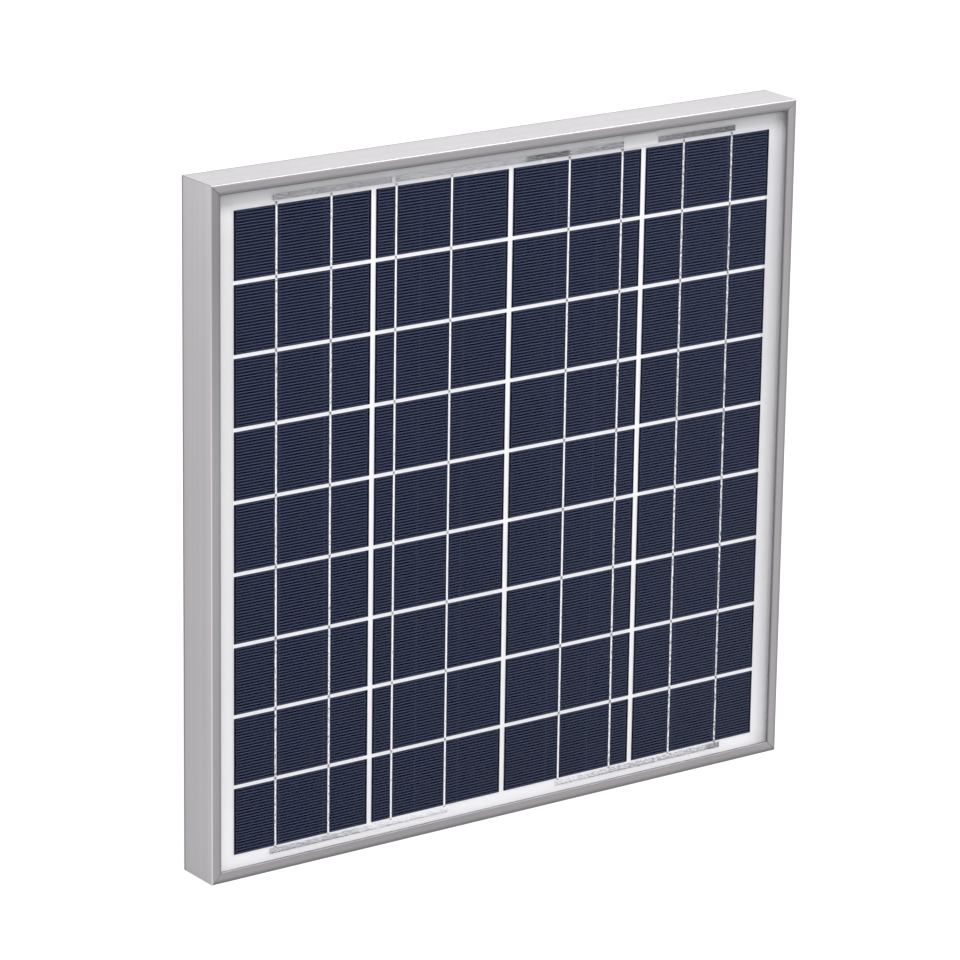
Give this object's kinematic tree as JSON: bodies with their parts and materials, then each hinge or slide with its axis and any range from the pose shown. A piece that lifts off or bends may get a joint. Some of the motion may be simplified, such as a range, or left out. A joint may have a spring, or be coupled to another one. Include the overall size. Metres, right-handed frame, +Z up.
{
  "type": "solar panel",
  "caption": "Small framed solar panel with glass front, crystalline cells, white backsheet and a junction box with cable glands on its back.",
  "frame": {"origin": "middle of the footprint, on the surface that the bottom rail stands on, at half the frame's depth", "axes": "+X to the right seen from the glass side, +Y out of the back, +Z up; the glass faces -Y"},
  "size_m": [0.34, 0.025, 0.34],
  "materials": {
    "anodised_frame": "satin clear anodised",
    "key_aluminium": "as extruded",
    "edge_tape": "matte foam tape",
    "solar_glass": "clear low-iron glass",
    "encapsulant": "clear cured film",
    "backsheet": "white film",
    "silicon_cell": "dark blue anti-reflective silicon with fine printed fingers",
    "tinned_ribbon": "bright tinned copper",
    "insulating_sheet": "white film",
    "white_silicone": "cured silicone",
    "black_box_plastic": "fine textured moulding",
    "gasket_rubber": "matte",
    "pin_steel": "drawn",
    "tinned_copper": "tinned",
    "screw_brass": "turned",
    "diode_epoxy": "moulded epoxy",
    "gland_nylon": "moulded nylon",
    "gland_rubber": "matte",
    "label_film": "bare silver film"
  },
  "bodies": {
    "panel": {"rail_top": "anodised_frame", "rail_bottom": "anodised_frame", "rail_left": "anodised_frame", "rail_right": "anodised_frame", "corner_key_top_left": "key_aluminium", "corner_key_top_right": "key_aluminium", "corner_key_bottom_left": "key_aluminium", "corner_key_bottom_right": "key_aluminium", "edge_tape_top": "edge_tape", "edge_tape_bottom": "edge_tape", "edge_tape_left": "edge_tape", "edge_tape_right": "edge_tape", "glass": "solar_glass", "front_encapsulant": "encapsulant", "rear_encapsulant": "encapsulant", "backsheet": "backsheet", "cells_column_1": "silicon_cell", "cells_column_2": "silicon_cell", "cells_column_3": "silicon_cell", "cells_column_4": "silicon_cell", "ribbons_column_1": "tinned_ribbon", "ribbons_column_2": "tinned_ribbon", "ribbons_column_3": "tinned_ribbon", "ribbons_column_4": "tinned_ribbon", "bus_strip_top_left": "tinned_ribbon", "bus_strip_top_middle": "tinned_ribbon", "bus_strip_top_right": "tinned_ribbon", "bus_strip_bottom_left": "tinned_ribbon", "bus_strip_bottom_right": "tinned_ribbon", "insulating_sheet": "insulating_sheet", "lead_left": "tinned_ribbon", "lead_right": "tinned_ribbon", "box_bond": "white_silicone", "junction_box": "black_box_plastic", "box_gasket": "gasket_rubber", "hinge_pins": "pin_steel", "terminal_plate_left": "tinned_copper", "terminal_plate_right": "tinned_copper", "terminal_screws": "screw_brass", "clamp_washers": "tinned_copper", "bypass_diode": "diode_epoxy", "gland_body_left": "gland_nylon", "gland_body_right": "gland_nylon", "gland_rings": "gland_rubber", "rating_label": "label_film"},
    "lid": {"box_lid": "black_box_plastic"},
    "seal_left": {"gland_seal_left": "gland_rubber"},
    "seal_right": {"gland_seal_right": "gland_rubber"},
    "nut_left": {"gland_nut_left": "gland_nylon"},
    "nut_right": {"gland_nut_right": "gland_nylon"}
  },
  "joints": [
    {"name": "lid_hinge", "type": "hinge", "parent": "panel", "child": "lid", "pos_m": [0, 0.0096, 0.3136], "axis": [1, 0, 0], "range_deg": [0, 110]},
    {"name": "seal_left_slide", "type": "slide", "parent": "panel", "child": "seal_left", "axis": [0, 0, -1], "range_m": [0, 0.0045]},
    {"name": "nut_left_turn", "type": "hinge", "parent": "seal_left", "child": "nut_left", "pos_m": [-0.02, 0.0021, 0.2392], "axis": [0, 0, -1], "range_deg": [0, 1080]},
    {"name": "seal_right_slide", "type": "slide", "parent": "panel", "child": "seal_right", "axis": [0, 0, -1], "range_m": [0, 0.0045]},
    {"name": "nut_right_turn", "type": "hinge", "parent": "seal_right", "child": "nut_right", "pos_m": [0.02, 0.0021, 0.2392], "axis": [0, 0, -1], "range_deg": [0, 1080]}
  ],
  "couplings": [
    {"joint": "nut_left_turn", "follows": "seal_left_slide", "rad_per_m": 4188.8},
    {"joint": "nut_right_turn", "follows": "seal_right_slide", "rad_per_m": 4188.8}
  ]
}
